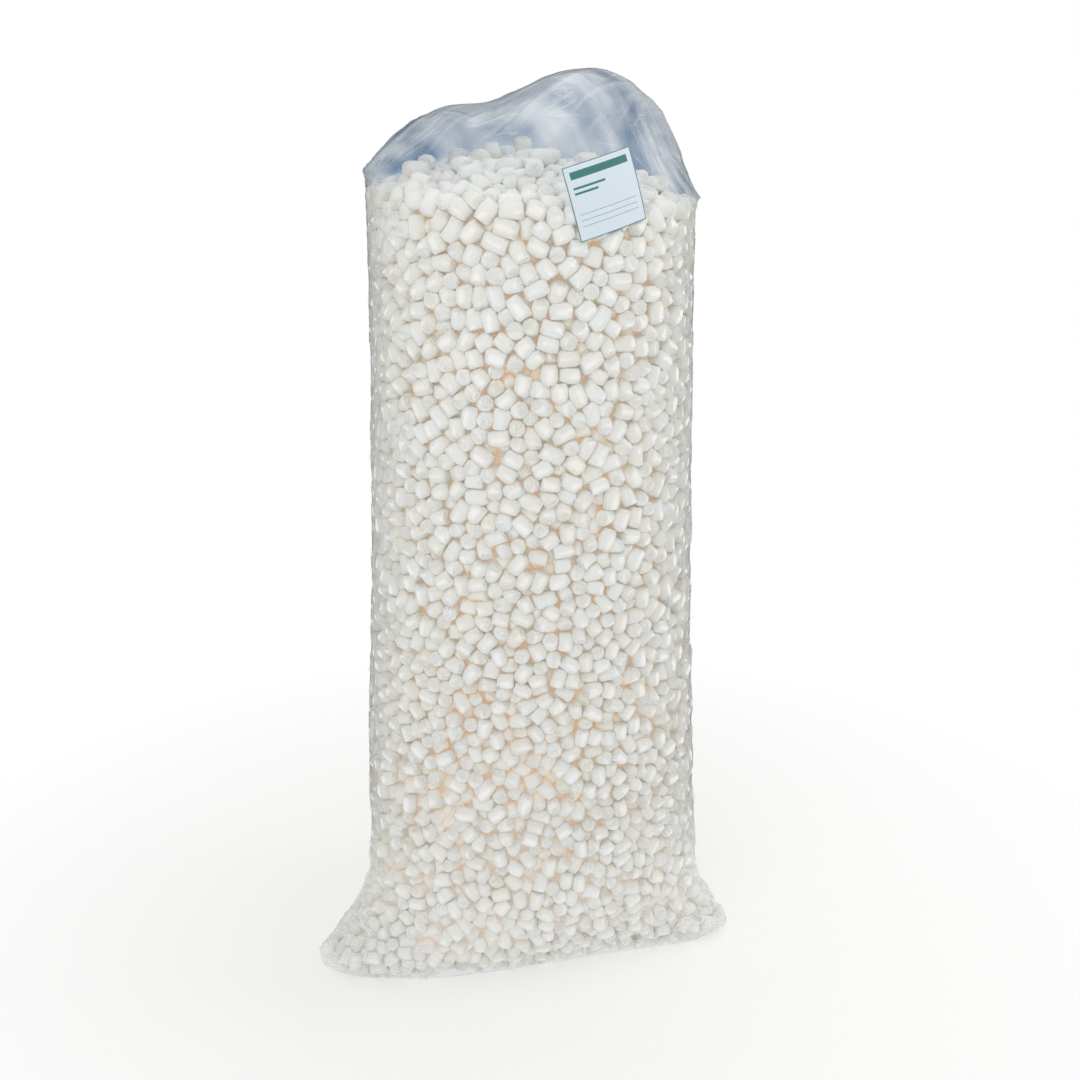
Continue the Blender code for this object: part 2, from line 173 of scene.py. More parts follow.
# Short made-up folds: count, two corners of their zone, angle and length
SHORT_FOLDS = (
    (9, (-0.26, 1.55), (0.16, 1.63), 0.5, 0.16),
    (3, (0.20, 1.47), (0.25, 1.56), -1.0, 0.08),
    (60, (0.22, 0.25), (0.28, 1.42), 0.95, 0.06),
    (14, (0.0, 0.01), (0.28, 0.04), 0.05, 0.06),
)
# Folds that fan out from an ear: count, and X and Z of its tip
EAR_FANS = ((5, -0.425, 0.03), (7, 0.385, 0.04))
FOLD_REACH = 0.03  # a fold shapes the film up to this far from its line

# Plain printed fields of the label: middle X and Y, width and height, as shares
LABEL_FIELDS = (
    (0.50, 0.87, 0.84, 0.10),
    (0.31, 0.70, 0.46, 0.030),
    (0.25, 0.63, 0.34, 0.030),
    (0.50, 0.35, 0.84, 0.006),
    (0.50, 0.27, 0.84, 0.006),
    (0.50, 0.19, 0.84, 0.006),
)
LABEL_BORDER = 0.489  # share of the label's width from its middle, where the border starts


# Colours and nodes

def rgb(code):
    """An sRGB hex colour as linear values."""
    parts = [int(code[i:i + 2], 16) / 255 for i in (1, 3, 5)]
    return [c / 12.92 if c <= 0.04045 else ((c + 0.055) / 1.055) ** 2.4 for c in parts] + [1]


def node(tree, kind, inputs=None, **settings):
    """Adds a node with its settings. A value that is a socket is linked, one that is a
    node is linked by its first output in use, and any other is set."""
    made = tree.nodes.new(kind)
    for name, value in settings.items():
        setattr(made, name, value)
    for name, value in (inputs or {}).items():
        if isinstance(value, bpy.types.Node):
            value = next(out for out in value.outputs if out.enabled)
        if isinstance(value, bpy.types.NodeSocket):
            tree.links.new(value, made.inputs[name])
        else:
            made.inputs[name].default_value = value
    return made


def new_material(name):
    made = bpy.data.materials.new(name)
    made.use_nodes = True
    made.node_tree.nodes.clear()
    return made, made.node_tree


def starch_foam():
    """Extruded starch loose fill: a puffed, matt, warm white foam. Its drawn skin is
    almost smooth with fine pits, and its cut ends show the crumbly cells. The gaps deep
    between the peanuts get a painted peach shade and a faint painted glow, less near the floor,
    so that they look peach, not dark."""
    made, tree = new_material("extruded_starch_foam")
    place = node(tree, "ShaderNodeTexCoord").outputs["Object"]
    end, deep, tone, warm = (
        node(tree, "ShaderNodeAttribute", attribute_name=name).outputs["Fac"]
        for name in ("end", "deep", "tone", "warm"))
    # cells about 4 mm across, coarser than the real ones so that they show
    pits = node(tree, "ShaderNodeMix", {
        "Factor": end,
        "A": node(tree, "ShaderNodeTexNoise", {"Vector": place, "Scale": 150.0, "Detail": 4.0}),
        "B": node(tree, "ShaderNodeTexNoise", {"Vector": place, "Scale": 250.0, "Detail": 2.0})})
    depth = node(tree, "ShaderNodeMapRange", {"Value": end, "To Min": 0.25, "To Max": 0.8})
    bump = node(tree, "ShaderNodeBump", {"Strength": depth, "Distance": 0.006, "Height": pits})
    skin = node(tree, "ShaderNodeValToRGB", {"Fac": tone})
    skin.color_ramp.elements.new(0.5)
    for point, colour in zip(skin.color_ramp.elements, ("#F6F4EE", "#FAF9F5", "#FDFDFB")):
        point.color = rgb(colour)
    # painted shade: the gaps deep between the peanuts are coloured peach, less so near the floor
    gap = node(tree, "ShaderNodeMix", {
        "Factor": warm, "A": rgb("#FAF4EE"), "B": rgb("#F7EADB")}, data_type="RGBA")
    # painted light: the same gaps glow faintly peach, though no lamp is there
    painted_gap_glow = node(tree, "ShaderNodeMix", {
        "Factor": warm, "A": rgb("#F3E8DF"), "B": rgb("#F3E0CB")}, data_type="RGBA")
    shader = node(tree, "ShaderNodeBsdfPrincipled", {
        "Base Color": node(tree, "ShaderNodeMix", {
            "Factor": deep, "A": skin, "B": gap}, data_type="RGBA"),
        "Roughness": 0.9, "Specular IOR Level": 0.15, "Subsurface Weight": 0.35,
        "Subsurface Radius": (1.0, 0.82, 0.64), "Subsurface Scale": 0.008,
        "Emission Color": painted_gap_glow,
        "Emission Strength": node(tree, "ShaderNodeMath", {0: deep, 1: 0.14}, operation="MULTIPLY"),
        "Normal": bump})
    node(tree, "ShaderNodeOutputMaterial", {"Surface": shader})
    made.cycles.emission_sampling = "NONE"
    return made


def fine_lines(tree, vector, angle, along, across):
    """Thin lines, 0 to 1, that run at this angle of a map: their rates per metre."""
    laid = node(tree, "ShaderNodeMapping", {"Vector": vector, "Rotation": (0, 0, -angle)})
    drawn = node(tree, "ShaderNodeMapping", {"Vector": laid, "Scale": (along, across, 1)})
    noise = node(tree, "ShaderNodeTexNoise", {
        "Vector": drawn, "Scale": 1.0, "Detail": 3.0, "Distortion": 0.4})
    side = node(tree, "ShaderNodeMath", {0: noise, 1: 0.5}, operation="SUBTRACT")
    off = node(tree, "ShaderNodeMath", {0: side}, operation="ABSOLUTE")
    return node(tree, "ShaderNodeMapRange", {
        "Value": off, "From Max": 0.07, "To Min": 1.0, "To Max": 0.0})


def clear_film():
    """Blown low-density polythene film, 60 microns: all but clear where it lies tight on
    the peanuts, and milky where it is creased. Slack, it carries a painted blue-grey reflection
    of the room, most at its rim; seen at a flat angle it greys with painted shade. Its facets
    mirror the lamps, and its folds and wrinkles are painted white, as painted highlights."""
    made, tree = new_material("polythene_film")
    haze, slack, skim, crinkle, fan, gloss, fold = (
        node(tree, "ShaderNodeAttribute", attribute_name=name).outputs["Fac"]
        for name in ("haze", "slack", "skim", "crinkle", "fan", "gloss", "fold"))
    sheet = node(tree, "ShaderNodeUVMap", uv_map="film")
    rays = node(tree, "ShaderNodeAttribute", attribute_name="rays").outputs["Vector"]
    creases = node(tree, "ShaderNodeMath", {
        0: fine_lines(tree, sheet, 0.6, 2.5, 20.0), 1: crinkle}, operation="MULTIPLY")
    gathers = node(tree, "ShaderNodeMath", {
        0: fine_lines(tree, rays, 0.0, 1.0, 1.0), 1: fan}, operation="MULTIPLY")
    # a fold is a thin painted highlight in a soft wider one, and it comes and goes
    away = node(tree, "ShaderNodeMath", {0: fold}, operation="ABSOLUTE")
    thin, wide = (
        node(tree, "ShaderNodeMapRange", {
            "Value": away, "From Max": reach, "To Min": most, "To Max": 0.0},
            interpolation_type="SMOOTHSTEP")
        for reach, most in ((0.0022, 0.85), (0.010, 0.35)))
    breaks = node(tree, "ShaderNodeTexNoise", {"Vector": sheet, "Scale": 17.0, "Detail": 1.0})
    shown = node(tree, "ShaderNodeMapRange", {"Value": breaks, "From Min": 0.38, "From Max": 0.60})
    painted_fold_highlight = node(tree, "ShaderNodeMath", {0: thin, 1: wide}, operation="MAXIMUM")
    folded = node(tree, "ShaderNodeMath", {0: painted_fold_highlight, 1: shown}, operation="MULTIPLY")
    made_up = node(tree, "ShaderNodeMath", {0: creases, 1: gathers}, operation="MAXIMUM")
    lines = node(tree, "ShaderNodeMath", {0: made_up, 1: folded}, operation="MAXIMUM")
    relief = node(tree, "ShaderNodeMath", {0: crinkle, 1: 0.4, 2: 0.06}, operation="MULTIPLY_ADD")
    bump = node(tree, "ShaderNodeBump", {"Strength": relief, "Distance": 0.002, "Height": lines})
    facing = node(tree, "ShaderNodeLayerWeight", {"Normal": bump}).outputs["Facing"]
    rim = node(tree, "ShaderNodeMath", {0: facing, 1: 3.0}, operation="POWER")
    grazing = node(tree, "ShaderNodeMath", {0: rim, 1: skim}, operation="MULTIPLY")
    # slack film gets a painted blue-grey reflection of the room, in long patches and most at its
    # rim
    laid = node(tree, "ShaderNodeMapping", {"Vector": sheet, "Rotation": (0, 0, -0.55)})
    bands = node(tree, "ShaderNodeMapping", {"Vector": laid, "Scale": (4, 13, 1)})
    patches = node(tree, "ShaderNodeTexNoise", {"Vector": bands, "Scale": 1.0, "Detail": 2.0})
    patch = node(tree, "ShaderNodeMapRange", {
        "Value": patches, "From Min": 0.34, "From Max": 0.66, "To Min": 0.12, "To Max": 1.05})
    most = node(tree, "ShaderNodeMath", {0: patch, 1: rim}, operation="MAXIMUM")
    tinted = node(tree, "ShaderNodeMath", {0: slack, 1: most}, operation="MULTIPLY")
    tone = node(tree, "ShaderNodeMath", {0: tinted, 1: 1.0}, operation="MINIMUM")
    blue = node(tree, "ShaderNodeMix", {
        "Factor": tone, "A": rgb("#FDFEFE"), "B": rgb("#5E80A2")}, data_type="RGBA")
    # painted shade: the film greys where it is seen at a flat angle
    shade = node(tree, "ShaderNodeMix", {
        "Factor": grazing, "A": rgb("#FFFFFF"), "B": rgb("#868680")}, data_type="RGBA")
    tint = node(tree, "ShaderNodeMix", {
        "Factor": 1.0, "A": blue, "B": shade}, data_type="RGBA", blend_type="MULTIPLY")
    clear = node(tree, "ShaderNodeBsdfTransparent", {"Color": tint})
    # its milky veil takes the same painted blue-grey reflection
    veil = node(tree, "ShaderNodeMix", {
        "Factor": tone, "A": rgb("#F0F1F1"), "B": rgb("#BFD3E9")}, data_type="RGBA")
    # painted highlights: the film turns white along its folds and wrinkles
    pale = node(tree, "ShaderNodeMix", {
        "Factor": lines, "A": veil, "B": rgb("#FFFFFF")}, data_type="RGBA")
    milky = node(tree, "ShaderNodeBsdfPrincipled", {
        "Base Color": pale, "Roughness": 0.4, "Normal": bump})
    # the painted highlights of the gathers at the ears are whiter than the hood's creases
    white = node(tree, "ShaderNodeMath", {0: fan, 1: 1.4, 2: 0.26}, operation="MULTIPLY_ADD")
    drawn = node(tree, "ShaderNodeMath", {0: lines, 1: white, 2: haze}, operation="MULTIPLY_ADD")
    thick = node(tree, "ShaderNodeMath", {0: grazing, 1: 0.12, 2: drawn}, operation="MULTIPLY_ADD")
    body = node(tree, "ShaderNodeMixShader", {
        "Fac": node(tree, "ShaderNodeMath", {0: thick, 1: 0.95}, operation="MINIMUM"),
        1: clear, 2: milky})
    mirror = node(tree, "ShaderNodeBsdfGlossy", {
        "Color": rgb("#FFFFFF"), "Roughness": 0.22, "Normal": bump})
    shine = node(tree, "ShaderNodeMath", {0: grazing, 1: 0.7, 2: 0.06}, operation="MULTIPLY_ADD")
    surface = node(tree, "ShaderNodeMixShader", {
        "Fac": node(tree, "ShaderNodeMath", {0: shine, 1: gloss}, operation="MULTIPLY"),
        1: body, 2: mirror})
    node(tree, "ShaderNodeOutputMaterial", {"Surface": surface})
    return made


def label_paper():
    """Gloss-coated white label paper with a thin printed border: it looks a cool pale
    blue beside the warm foam, and its print is plain fields."""
    made, tree = new_material("coated_label_paper")
    flat = node(tree, "ShaderNodeUVMap", uv_map="sheet")
    axes = node(tree, "ShaderNodeSeparateXYZ", {"Vector": flat}).outputs

    def printed_within(x, y, wide, high):
        """1 inside a field of the label and 0 outside it."""
        within = []
        for axis, middle, size in (("X", x, wide), ("Y", y, high)):
            side = node(tree, "ShaderNodeMath", {0: axes[axis], 1: middle}, operation="SUBTRACT")
            off = node(tree, "ShaderNodeMath", {0: side}, operation="ABSOLUTE")
            within.append(node(tree, "ShaderNodeMath", {
                0: off, 1: size / 2}, operation="LESS_THAN"))
        return node(tree, "ShaderNodeMath", dict(enumerate(within)), operation="MULTIPLY")

    blank = printed_within(0.5, 0.5, 2 * LABEL_BORDER, 2 * LABEL_BORDER)
    printed = node(tree, "ShaderNodeMath", {0: 1.0, 1: blank}, operation="SUBTRACT")
    for field in LABEL_FIELDS:
        printed = node(tree, "ShaderNodeMath", {
            0: printed, 1: printed_within(*field)}, operation="MAXIMUM")
    grain = node(tree, "ShaderNodeTexNoise", {"Vector": flat, "Scale": 9.0, "Detail": 3.0})
    shader = node(tree, "ShaderNodeBsdfPrincipled", {
        "Base Color": node(tree, "ShaderNodeMix", {
            "Factor": printed, "A": rgb("#DAE6F0"), "B": rgb("#3F7F77")}, data_type="RGBA"),
        "Roughness": 0.45, "IOR": 1.5,
        "Normal": node(tree, "ShaderNodeBump", {
            "Strength": 0.15, "Distance": 0.001, "Height": grain})})
    node(tree, "ShaderNodeOutputMaterial", {"Surface": shader})
    return made


def studio_floor():
    """Matt white studio floor that fades into the white background."""
    made, tree = new_material("white_studio_floor")
    place = node(tree, "ShaderNodeTexCoord").outputs["Object"]
    away = node(tree, "ShaderNodeVectorMath", {0: place}, operation="LENGTH").outputs["Value"]
    fade = node(tree, "ShaderNodeMapRange", {
        "Value": away, "From Min": 0.5, "From Max": 1.5, "To Min": 0.45})
    near = node(tree, "ShaderNodeBsdfPrincipled", {
        "Base Color": rgb("#FDFDFD"), "Roughness": 0.9, "Specular IOR Level": 0.0})
    far = node(tree, "ShaderNodeEmission", {"Color": rgb("#FFFFFF"), "Strength": 1.0})
    both = node(tree, "ShaderNodeMixShader", {"Fac": fade, 1: near, 2: far})
    node(tree, "ShaderNodeOutputMaterial", {"Surface": both})
    return made


# Objects and meshes

def add_object(name, data):
    made = bpy.data.objects.new(name, data)
    bpy.context.scene.collection.objects.link(made)
    return made


def points_of(mesh):
    return np.array([vert.co for vert in mesh.vertices])


def store(mesh, name, values, kind="FLOAT"):
    """Keeps a number or a vector for each point of the mesh."""
    made = mesh.attributes.new(name, kind, "POINT")
    field = "value" if kind == "FLOAT" else "vector"
    made.data.foreach_set(field, values.astype(np.float32).ravel())


# The bag's surface

def height_of(level):
    """Level 0 is the floor, 1 the flare's top and 2 the body's top."""
    if level <= 1:
        return level * FLARE_TOP
    return FLARE_TOP + (level - 1) * (BODY_TOP - FLARE_TOP)


SECTION_ROWS = np.array([(height_of(row[0]), *row[1:]) for row in SECTIONS])
MOUTH_ROWS = np.array([(x * TUBE_WIDTH, BODY_TOP + up * HOOD_HEIGHT) for x, up in MOUTH])


def through(rows, at):
    """The rows' values at each of these first values, on a smooth curve through them."""
    keys = rows[:, 0]
    at = np.clip(at, keys[0], keys[-1])
    i = np.clip(np.searchsorted(keys, at) - 1, 0, len(keys) - 2)
    before = np.maximum(np.arange(len(keys)) - 1, 0)
    after = np.minimum(np.arange(len(keys)) + 1, len(keys) - 1)
    slopes = (rows[after] - rows[before]) / (keys[after] - keys[before])[:, None]
    span = (keys[i + 1] - keys[i])[..., None]
    t = (at - keys[i])[..., None] / span
    a, rise = rows[i], rows[i + 1] - rows[i]
    start, end = slopes[i] * span, slopes[i + 1] * span
    found = a + t * start + t**2 * (3 * rise - 2 * start - end) + t**3 * (start + end - 2 * rise)
    return np.moveaxis(found, -1, 0)[1:]


def section_points(turn, height):
    """Points of the tube's section at each height."""
    half, front, front_pinch, back, back_pinch, middle_x, middle_y = through(
        SECTION_ROWS, height)
    in_front = np.sin(turn) < 0
    skew = FRONT_SKEW * np.maximum(1 - height / FLARE_TOP, 0)
    front = front * (1 - skew * np.cos(turn) * np.sin(turn) ** 2)
    reach = np.where(in_front, -front, back)
    pinch = np.where(in_front, front_pinch, back_pinch)
    x = (half * np.cos(turn) + middle_x) * TUBE_WIDTH
    y = (reach * np.abs(np.sin(turn)) ** pinch + middle_y) * TUBE_WIDTH
    lift = (height / BODY_TOP) ** 4
    return np.stack((x, y, height - HOOD_TILT * x * lift), -1)


def mouth_points(turn):
    left, right = MOUTH_ROWS[0][0], MOUTH_ROWS[-1][0]
    x = (left + right) / 2 + (right - left) / 2 * np.cos(turn)
    lip = np.where(np.sin(turn) < 0, -1, 1)
    sway = 0.012 * np.sin(24 * x + 1) * np.abs(np.sin(turn))
    return np.stack((x, sway + lip * MOUTH_GAP / 2, through(MOUTH_ROWS, x)[0]), -1)


def hood_points(turn, share):
    """The slack film above the heap: share 0 is its foot, 1 the mouth."""
    foot, lip = section_points(turn, np.full_like(turn, BODY_TOP)), mouth_points(turn)
    back = (1 - np.cos(share * np.pi / 2)) ** HOOD_FULL
    up = np.sin(share * np.pi / 2) ** (1 / HOOD_FULL)
    way = np.stack((back, back, up), -1)
    return foot + (lip - foot) * way


def base_rows(columns, under_rows, body_rows, hood_rows):
    """The bag's smooth surface as a grid of points: underside, body, hood."""
    turn = np.arange(columns) * 2 * np.pi / columns
    weld_y = SECTION_ROWS[0][-1] * TUBE_WIDTH
    rim = section_points(turn, np.zeros_like(turn))
    rows = []
    for share in np.arange(under_rows) / under_rows:
        ring = rim.copy()
        ring[:, 0] *= 1 - WELD_SHORTER * (1 - share)
        ring[:, 1] = weld_y + (rim[:, 1] - weld_y) * share
        rows.append(ring)
    for height in np.linspace(0, BODY_TOP, body_rows):
        rows.append(section_points(turn, np.full_like(turn, height)))
    for share in np.linspace(0, 1, hood_rows + 1)[1:]:
        rows.append(hood_points(turn, np.full_like(turn, share)))
    return np.array(rows), turn


def grid_normals(points):
    """Outward normals of a grid that closes round its columns."""
    around = np.roll(points, -1, 1) - np.roll(points, 1, 1)
    up = np.gradient(points, axis=0)
    normal = np.cross(around, up)
    return normal / np.maximum(np.linalg.norm(normal, axis=2, keepdims=True), 1e-12)


def grid_faces(rows, columns):
    """Quads of a grid that closes round its columns, facing out."""
    a = np.arange((rows - 1) * columns)
    right = a - a % columns + (a + 1) % columns
    return np.stack((a, right, right + columns, a + columns), -1)


def tree_of_grid(points):
    rows, columns = points.shape[:2]
    return BVHTree.FromPolygons(
        points.reshape(-1, 3).tolist(), grid_faces(rows, columns).tolist())


def heap_height(x, y):
    half_width = SECTION_ROWS[-1][1] * TUBE_WIDTH
    far = np.minimum(np.hypot(x, y) / half_width, 1.0)
    return BODY_TOP + HEAP_RISE - HEAP_TILT * x + HEAP_CROWN * (1 - far * far)


# Packing the peanuts

def wall_depths(skin, points):
    """How far each point lies inside the bag's wall, and the way in from there."""
    depths, ways = np.empty(len(points)), np.empty((len(points), 3))
    for i, point in enumerate(points):
        at, normal, _, _ = skin.find_nearest(point)
        away = Vector(point) - at
        depths[i] = -away.dot(normal)
        ways[i] = -normal
    return depths, ways


def ceiling(points):
    """How far each point lies below the heap's surface, which is a little uneven."""
    x, y, z = points.T
    uneven = 0.004 * (np.sin(67 * x + 3) + np.sin(59 * y + 1) * np.cos(31 * x))
    return heap_height(x, y) + uneven - z


def film_hold(points):
    """How firmly the film holds a peanut back: it bulges over those near the floor."""
    return 0.5 + 0.5 * smooth_step(0.02, 0.14, points[:, 2])


def solid_lumps(skin):
    """The proud backs of the solid fill: a pair of near points is a peanut that lies,
    a single one stands on its end. Gives the middles and axes of those peanuts."""
    mesh = frame["nodes"]["peanut_fill"].data
    points = points_of(mesh)
    keys = [tuple(point) for point in np.round(points, 5).tolist()]
    first = {key: i for i, key in enumerate(keys[::-1])}
    same = [len(keys) - 1 - first[key] for key in keys]
    depths, ways = wall_depths(skin, points)
    below = heap_height(points[:, 0], points[:, 1]) - points[:, 2]
    on_heap = below < depths
    ways[on_heap] = (0, 0, -1)
    proud = np.minimum(depths, below) < 0.010
    mates = {}
    for edge in mesh.edges:
        a, b = (same[i] for i in edge.vertices)
        if a != b and proud[a] and proud[b]:
            mates[a], mates[b] = b, a
    middles, axes, taken = [], [], set()
    for i in sorted(set(same)):
        if not proud[i] or i in taken:
            continue
        mate = mates.get(i)
        taken |= {i, mate}
        if mate is None:
            axis = ways[i]
            middle = points[i] + ways[i] * PEANUT_LENGTH / 2
        else:
            axis = points[mate] - points[i]
            middle = (points[mate] + points[i]) / 2 + ways[i] * PEANUT_RADIUS
        middles.append(middle)
        axes.append(axis / np.linalg.norm(axis))
    return np.array(middles), np.array(axes)


def start_places(skin, chance):
    """The solid's lumps first, then random places in the layer that can be seen."""
    low, high = [np.array(corner) for corner in CAD_BOX]
    found, axes = solid_lumps(skin)
    lumps = len(found)
    spread = START_SPREAD

    def cell_of(point):
        return tuple((point // spread).astype(int))

    added = []
    while lumps + len(added) < PEANUTS:
        cells = {}
        for point in list(found) + added:
            cells.setdefault(cell_of(point), []).append(point)
        points = low + (high - low) * chance.random((6000, 3))
        points = points[ceiling(points) > PEANUT_RADIUS]
        depths, _ = wall_depths(skin, points)
        kept = (depths > PEANUT_RADIUS * film_hold(points)) & (points[:, 2] > PEANUT_RADIUS)
        kept &= np.minimum(depths, ceiling(points)) < LAYER
        for point in points[kept]:
            i, j, k = cell_of(point)
            around = [near for a in (i - 1, i, i + 1) for b in (j - 1, j, j + 1)
                      for c in (k - 1, k, k + 1) for near in cells.get((a, b, c), ())]
            if not around or min(np.linalg.norm(np.array(around) - point, axis=1)) > spread:
                cells.setdefault((i, j, k), []).append(point)
                added.append(point)
        spread *= 0.985
    found = np.concatenate((found, added))[:PEANUTS]
    turned = chance.normal(size=(PEANUTS, 3))
    _, ways = wall_depths(skin, found)
    on_end = chance.random(PEANUTS) < ON_END
    turned[on_end] = ways[on_end] + 0.25 * chance.normal(size=(on_end.sum(), 3))
    turned[:lumps] = axes
    turned /= np.linalg.norm(turned, axis=1, keepdims=True)
    return found, turned, lumps


def close_pairs(points, reach):
    tree = KDTree(len(points))
    for i, point in enumerate(points):
        tree.insert(point, i)
    tree.balance()
    pairs = [(i, j) for i, point in enumerate(points)
             for _, j, _ in tree.find_range(point, reach) if j > i]
    pairs = np.array(pairs)
    return pairs[pairs[:, 0] // 2 != pairs[:, 1] // 2]


def two_balls(middles, axes, reach):
    """The ball at each end of each peanut, one after the other."""
    off = axes * reach[:, None]
    return np.stack((middles - off, middles + off), 1).reshape(-1, 3)


def settle(skin, chance):
    """Two balls stand for each peanut. They push apart till the peanuts lie packed, and
    the film and the heap's surface hold them in. Gives middles, axes and sizes."""
    middles, axes, lumps = start_places(skin, chance)
    ease = np.repeat(np.where(np.arange(PEANUTS) < lumps, 0.25, 1.0), 2)[:, None]
    # a little larger at the top than below, as the photo shows them
    size = (0.87 + 0.12 * middles[:, 2] / BODY_TOP) * chance.uniform(0.94, 1.06, PEANUTS)
    radius = PEANUT_RADIUS * size
    length = PEANUT_LENGTH * size * chance.uniform(0.76, 1.04, PEANUTS)
    reach = (length - 1.7 * radius) / 2
    balls = two_balls(middles, axes, reach)
    ball = np.repeat(radius, 2)
    for turn in range(SETTLE_ROUNDS):
        if turn % 4 == 0:
            pairs = close_pairs(balls, 2.3 * PEANUT_RADIUS)
            depths, ways = wall_depths(skin, balls)
            held = balls.copy()
        a, b = pairs.T
        apart = balls[b] - balls[a]
        gap = np.maximum(np.linalg.norm(apart, axis=1), 1e-6)
        press = np.maximum(ball[a] + ball[b] - gap, 0) / gap * 0.42
        push = apart * press[:, None]
        moved = np.zeros_like(balls)
        for axis in range(3):
            moved[:, axis] = (np.bincount(b, push[:, axis], len(balls))
                              - np.bincount(a, push[:, axis], len(balls)))
        balls += ease * np.clip(moved, -0.004, 0.004)
        depth = depths + np.einsum("ij,ij->i", balls - held, ways)
        hold = ball * film_hold(balls)
        balls += ways * np.maximum(hold + 0.0008 - depth, 0)[:, None]
        balls[:, 2] = np.maximum(balls[:, 2], 0.95 * ball)
        below = ceiling(balls)
        balls[:, 2] -= np.maximum(0.6 * ball - below, 0)
        deep = np.maximum(np.minimum(depth, below) - LAYER, 0)
        balls -= ways * (0.3 * deep)[:, None] * (depth < below)[:, None]
        balls[:, 2] += 0.3 * deep * (depth >= below)
        ends = balls.reshape(-1, 2, 3)
        middles = ends.mean(1)
        axes = ends[:, 1] - ends[:, 0]
        axes /= np.maximum(np.linalg.norm(axes, axis=1, keepdims=True), 1e-9)
        balls = two_balls(middles, axes, reach)
    return middles, axes, np.stack((length / 2, radius, radius), 1)


# The peanuts' shapes

def peanut_shape(name, rings, sides, chance):
    """One peanut of half length 1 and radius 1 along X, bowed, tapered and uneven."""
    bow, taper = chance.uniform(0, 0.22), chance.uniform(-0.1, 0.1)
    bulge = chance.uniform(-0.03, 0.08)
    slant = [chance.uniform(-0.2, 0.2) for _ in range(2)]
    bm = bmesh.new()
    made = []
    for along, girth in rings:
        ring = []
        for i in range(sides):
            angle = 2 * math.pi * i / sides
            radius = girth * (1 + taper * along + bulge * (1 - along * along))
            radius *= 1 + chance.uniform(-0.06, 0.06)
            cut = slant[along > 0] * math.cos(angle) * abs(along) ** 4
            cut += chance.uniform(-0.03, 0.03)
            lift = bow * (1 - along * along)
            ring.append(bm.verts.new((along + cut * 0.7, radius * math.cos(angle),
                                      radius * math.sin(angle) + lift)))
        made.append(ring)
    for lower, upper in zip(made, made[1:]):
        for i in range(sides):
            j = (i + 1) % sides
            bm.faces.new((lower[i], upper[i], upper[j], lower[j]))
    for ring, side in ((made[0], -1), (made[-1], 1)):
        middle = bm.verts.new((side * chance.uniform(0.97, 1.04), 0, 0))
        for i in range(sides):
            j = (i + 1) % sides
            corners = (middle, ring[i], ring[j]) if side < 0 else (middle, ring[j], ring[i])
            bm.faces.new(corners)
    mesh = bpy.data.meshes.new(name)
    bmesh.ops.recalc_face_normals(bm, faces=bm.faces)
    bm.to_mesh(mesh)
    bm.free()
    mesh.shade_smooth()
    store(mesh, "end", np.abs(points_of(mesh)[:, 0]) > 0.93)
    return mesh


FINE_RINGS = ((-1.0, 0.70), (-0.91, 0.92), (-0.4, 1.03), (0.4, 1.03), (0.91, 0.92), (1.0, 0.70))
PLAIN_RINGS = ((-1.0, 0.8), (-0.88, 1.0), (0.88, 1.0), (1.0, 0.8))


def peanut_kinds(name, rings, sides):
    """A collection of differently bowed and tapered peanuts."""
    kinds = bpy.data.collections.new(name)
    bpy.context.scene.collection.children.link(kinds)
    chance = random.Random(SEED)
    for number in range(KINDS):
        mesh = peanut_shape(f"{name}_{number}", rings, sides, chance)
        kinds.objects.link(bpy.data.objects.new(mesh.name, mesh))
    return kinds


def scatter_tree(finish):
    """Puts a peanut on every point, along its axis attribute and of its size."""
    tree = bpy.data.node_groups.new("peanut_scatter", "GeometryNodeTree")
    face = tree.interface
    face.new_socket("Points", in_out="INPUT", socket_type="NodeSocketGeometry")
    face.new_socket("Kinds", in_out="INPUT", socket_type="NodeSocketCollection")
    face.new_socket("Seed", in_out="INPUT", socket_type="NodeSocketInt")
    face.new_socket("Peanuts", in_out="OUTPUT", socket_type="NodeSocketGeometry")
    given = node(tree, "NodeGroupInput")
    axis = node(tree, "GeometryNodeInputNamedAttribute", {"Name": "axis"}, data_type="FLOAT_VECTOR")
    size = node(tree, "GeometryNodeInputNamedAttribute", {"Name": "size"}, data_type="FLOAT_VECTOR")
    aim = node(tree, "FunctionNodeAlignRotationToVector", {
        "Vector": axis.outputs["Attribute"]}, axis="X")
    roll = node(tree, "FunctionNodeRandomValue", {
        "Max": 2 * math.pi, "Seed": given.outputs["Seed"]})
    twist = node(tree, "FunctionNodeAxisAngleToRotation", {
        "Axis": (1, 0, 0), "Angle": roll.outputs[1]})
    lie = node(tree, "FunctionNodeRotateRotation", {
        "Rotation": aim.outputs["Rotation"], "Rotate By": twist.outputs["Rotation"]},
        rotation_space="LOCAL")
    kind = node(tree, "FunctionNodeRandomValue", {
        4: 0, 5: KINDS - 1, "Seed": given.outputs["Seed"]}, data_type="INT")
    shapes = node(tree, "GeometryNodeCollectionInfo", {
        "Collection": given.outputs["Kinds"], "Separate Children": True, "Reset Children": True})
    placed = node(tree, "GeometryNodeInstanceOnPoints", {
        "Points": given.outputs["Points"], "Instance": shapes.outputs["Instances"],
        "Pick Instance": True, "Instance Index": kind.outputs[2],
        "Rotation": lie.outputs["Rotation"], "Scale": size.outputs["Attribute"]})
    tone = node(tree, "FunctionNodeRandomValue", {"Seed": given.outputs["Seed"]})
    toned = node(tree, "GeometryNodeStoreNamedAttribute", {
        "Geometry": placed.outputs["Instances"], "Name": "tone", "Value": tone.outputs[1]},
        data_type="FLOAT", domain="INSTANCE")
    real = node(tree, "GeometryNodeRealizeInstances", {"Geometry": toned.outputs["Geometry"]})
    dressed = node(tree, "GeometryNodeSetMaterial", {
        "Geometry": real.outputs["Geometry"], "Material": finish})
    node(tree, "NodeGroupOutput", {"Peanuts": dressed.outputs["Geometry"]})
    return tree


